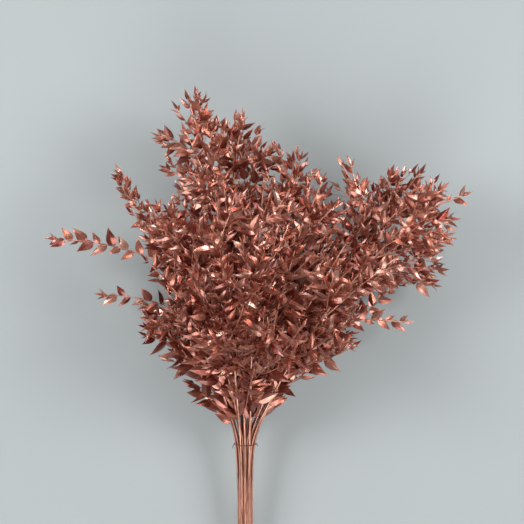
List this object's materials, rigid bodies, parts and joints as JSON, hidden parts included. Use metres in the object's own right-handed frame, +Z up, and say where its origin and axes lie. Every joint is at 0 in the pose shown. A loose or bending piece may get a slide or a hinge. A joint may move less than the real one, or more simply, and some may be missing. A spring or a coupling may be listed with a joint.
{
  "type": "dried ruscus stem bunch",
  "caption": "Tied bunch of dried ruscus branches painted metallic copper, lying flat: bare stems bound with wire below a wide, dense head of pointed leaves.",
  "frame": {"origin": "on the surface that the bunch lies on, under the middle of its bounding box", "axes": "+Y along the bunch from its cut ends to its leafy end, +Z up from the surface, +X to the right seen from above with the leafy end up"},
  "size_m": [0.6006, 0.6964, 0.2104],
  "materials": {
    "copper_paint": "dried leaves and wood under satin, metallic copper spray paint",
    "copper_wire": "dull, dark copper wire"
  },
  "bodies": {
    "root": {"binding_wire": "copper_wire", "stem_crown_right": "copper_paint", "stem_left_arched": "copper_paint", "stem_left_front": "copper_paint", "stem_left_low": "copper_paint", "stem_left_under": "copper_paint", "stem_left_wide": "copper_paint", "stem_low_front": "copper_paint", "stem_middle_front": "copper_paint", "stem_middle_left_front": "copper_paint", "stem_plume_left": "copper_paint", "stem_right_base": "copper_paint", "stem_right_cluster": "copper_paint", "stem_right_far": "copper_paint", "stem_right_low": "copper_paint", "stem_right_outer": "copper_paint", "stem_right_shoulder": "copper_paint", "stem_right_under": "copper_paint", "stem_right_upper": "copper_paint", "stem_top_middle": "copper_paint"}
  },
  "joints": []
}
